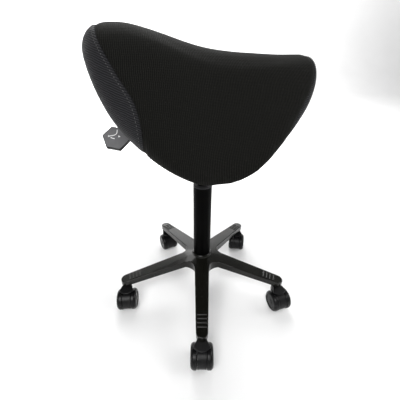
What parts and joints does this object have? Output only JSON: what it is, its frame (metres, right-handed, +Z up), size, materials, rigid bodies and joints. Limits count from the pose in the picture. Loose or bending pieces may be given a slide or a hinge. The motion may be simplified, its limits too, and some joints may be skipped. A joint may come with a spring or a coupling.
{
  "type": "saddle stool",
  "caption": "Saddle stool with a ribbed black fabric seat, gas column, height lever and a gloss black five-arm base on twin-wheel casters.",
  "frame": {"origin": "on the floor, on the swivel axis of the column", "axes": "+X is the way the sitter faces, to the low front of the saddle; +Y is the sitter's left; +Z is up"},
  "size_m": [0.5088, 0.5156, 0.7161],
  "materials": {
    "gloss_black_cast": "gloss black coating on a cast star",
    "sleeve_plastic": "matte moulded plastic",
    "steel": "zinc plated steel",
    "caster_plastic": "satin moulded plastic",
    "wheel_plastic": "satin wheel with a soft tread",
    "black_tube_paint": "satin black powder coat",
    "buffer_rubber": "dull",
    "plate_paint": "satin black powder coat",
    "paddle_plastic": "gloss moulded plastic",
    "seat_fabric": "fine ribbed weave",
    "edge_material": "grained, with light stitching along the seam",
    "foam": "open cell moulded foam",
    "shell_plastic": "moulded shell",
    "block_wood": "bare plywood"
  },
  "bodies": {
    "base": {"base_star": "gloss_black_cast", "caster_sleeves": "sleeve_plastic", "column_tube": "black_tube_paint", "column_guide": "sleeve_plastic", "column_end_ring": "sleeve_plastic", "thrust_bearing": "steel", "foot_washer": "steel"},
    "post": {"lift_rod": "steel", "lift_piston": "sleeve_plastic", "rubber_buffer": "buffer_rubber", "foot_clip": "steel"},
    "seat": {"lift_cylinder": "black_tube_paint", "lift_seal_plug": "sleeve_plastic", "cone_socket": "plate_paint", "seat_plate": "plate_paint", "plate_bolts": "steel", "plate_washers": "steel", "block_inserts": "steel", "lever_bracket": "plate_paint", "lever_pin": "steel", "seat_block": "block_wood", "seat_shell": "shell_plastic", "seat_foam": "foam", "seat_cover_top": "seat_fabric", "seat_cover_rear_band": "edge_material", "seat_cover_front_band": "edge_material"},
    "lever": {"lever_rod": "plate_paint", "lever_paddle": "paddle_plastic"},
    "button": {"release_button": "steel"},
    "caster_1_fork": {"caster_1_stem": "steel", "caster_1_body": "caster_plastic", "caster_1_axle": "steel"},
    "caster_1_left": {"caster_1_wheel_left": "wheel_plastic"},
    "caster_1_right": {"caster_1_wheel_right": "wheel_plastic"},
    "caster_2_fork": {"caster_2_stem": "steel", "caster_2_body": "caster_plastic", "caster_2_axle": "steel"},
    "caster_2_left": {"caster_2_wheel_left": "wheel_plastic"},
    "caster_2_right": {"caster_2_wheel_right": "wheel_plastic"},
    "caster_3_fork": {"caster_3_stem": "steel", "caster_3_body": "caster_plastic", "caster_3_axle": "steel"},
    "caster_3_left": {"caster_3_wheel_left": "wheel_plastic"},
    "caster_3_right": {"caster_3_wheel_right": "wheel_plastic"},
    "caster_4_fork": {"caster_4_stem": "steel", "caster_4_body": "caster_plastic", "caster_4_axle": "steel"},
    "caster_4_left": {"caster_4_wheel_left": "wheel_plastic"},
    "caster_4_right": {"caster_4_wheel_right": "wheel_plastic"},
    "caster_5_fork": {"caster_5_stem": "steel", "caster_5_body": "caster_plastic", "caster_5_axle": "steel"},
    "caster_5_left": {"caster_5_wheel_left": "wheel_plastic"},
    "caster_5_right": {"caster_5_wheel_right": "wheel_plastic"}
  },
  "joints": [
    {"name": "seat_swivel", "type": "hinge", "parent": "base", "child": "post", "pos_m": [0, 0, 0.07], "axis": [0, 0, 1], "continuous": true},
    {"name": "seat_height", "type": "slide", "parent": "post", "child": "seat", "axis": [0, 0, 1], "range_m": [-0.11, 0.01]},
    {"name": "height_lever", "type": "hinge", "parent": "seat", "child": "lever", "pos_m": [-0.034, 0, 0.5568], "axis": [0, 1, 0], "range_deg": [0, 5], "stiffness_Nm_per_rad": 1.5},
    {"name": "valve_button", "type": "slide", "parent": "seat", "child": "button", "axis": [0, 0, 1], "range_m": [-0.003, 0]},
    {"name": "caster_1_swivel", "type": "hinge", "parent": "base", "child": "caster_1_fork", "pos_m": [-0.04907, -0.23084, 0.08], "axis": [0, 0, 1], "continuous": true},
    {"name": "caster_1_roll_left", "type": "hinge", "parent": "caster_1_fork", "child": "caster_1_left", "pos_m": [-0.05364, -0.25236, 0.03], "axis": [0.9781, -0.2079, 0], "continuous": true},
    {"name": "caster_1_roll_right", "type": "hinge", "parent": "caster_1_fork", "child": "caster_1_right", "pos_m": [-0.05364, -0.25236, 0.03], "axis": [0.9781, -0.2079, 0], "continuous": true},
    {"name": "caster_2_swivel", "type": "hinge", "parent": "base", "child": "caster_2_fork", "pos_m": [0.20438, -0.118, 0.08], "axis": [0, 0, 1], "continuous": true},
    {"name": "caster_2_roll_left", "type": "hinge", "parent": "caster_2_fork", "child": "caster_2_left", "pos_m": [0.2063, -0.13992, 0.03], "axis": [0.9962, 0.0872, 0], "continuous": true},
    {"name": "caster_2_roll_right", "type": "hinge", "parent": "caster_2_fork", "child": "caster_2_right", "pos_m": [0.2063, -0.13992, 0.03], "axis": [0.9962, 0.0872, 0], "continuous": true},
    {"name": "caster_3_swivel", "type": "hinge", "parent": "base", "child": "caster_3_fork", "pos_m": [0.17538, 0.15791, 0.08], "axis": [0, 0, 1], "continuous": true},
    {"name": "caster_3_roll_left", "type": "hinge", "parent": "caster_3_fork", "child": "caster_3_left", "pos_m": [0.16786, 0.13724, 0.03], "axis": [0.9397, -0.342, 0], "continuous": true},
    {"name": "caster_3_roll_right", "type": "hinge", "parent": "caster_3_fork", "child": "caster_3_right", "pos_m": [0.16786, 0.13724, 0.03], "axis": [0.9397, -0.342, 0], "continuous": true},
    {"name": "caster_4_swivel", "type": "hinge", "parent": "base", "child": "caster_4_fork", "pos_m": [-0.09599, 0.2156, 0.08], "axis": [0, 0, 1], "continuous": true},
    {"name": "caster_4_roll_left", "type": "hinge", "parent": "caster_4_fork", "child": "caster_4_left", "pos_m": [-0.09067, 0.19425, 0.03], "axis": [0.9703, 0.2419, 0], "continuous": true},
    {"name": "caster_4_roll_right", "type": "hinge", "parent": "caster_4_fork", "child": "caster_4_right", "pos_m": [-0.09067, 0.19425, 0.03], "axis": [0.9703, 0.2419, 0], "continuous": true},
    {"name": "caster_5_swivel", "type": "hinge", "parent": "base", "child": "caster_5_fork", "pos_m": [-0.23471, -0.02467, 0.08], "axis": [0, 0, 1], "continuous": true},
    {"name": "caster_5_roll_left", "type": "hinge", "parent": "caster_5_fork", "child": "caster_5_left", "pos_m": [-0.23739, -0.0465, 0.03], "axis": [0.9925, -0.1219, 0], "continuous": true},
    {"name": "caster_5_roll_right", "type": "hinge", "parent": "caster_5_fork", "child": "caster_5_right", "pos_m": [-0.23739, -0.0465, 0.03], "axis": [0.9925, -0.1219, 0], "continuous": true}
  ],
  "couplings": [
    {"joint": "valve_button", "follows": "height_lever", "m_per_rad": -0.034}
  ]
}
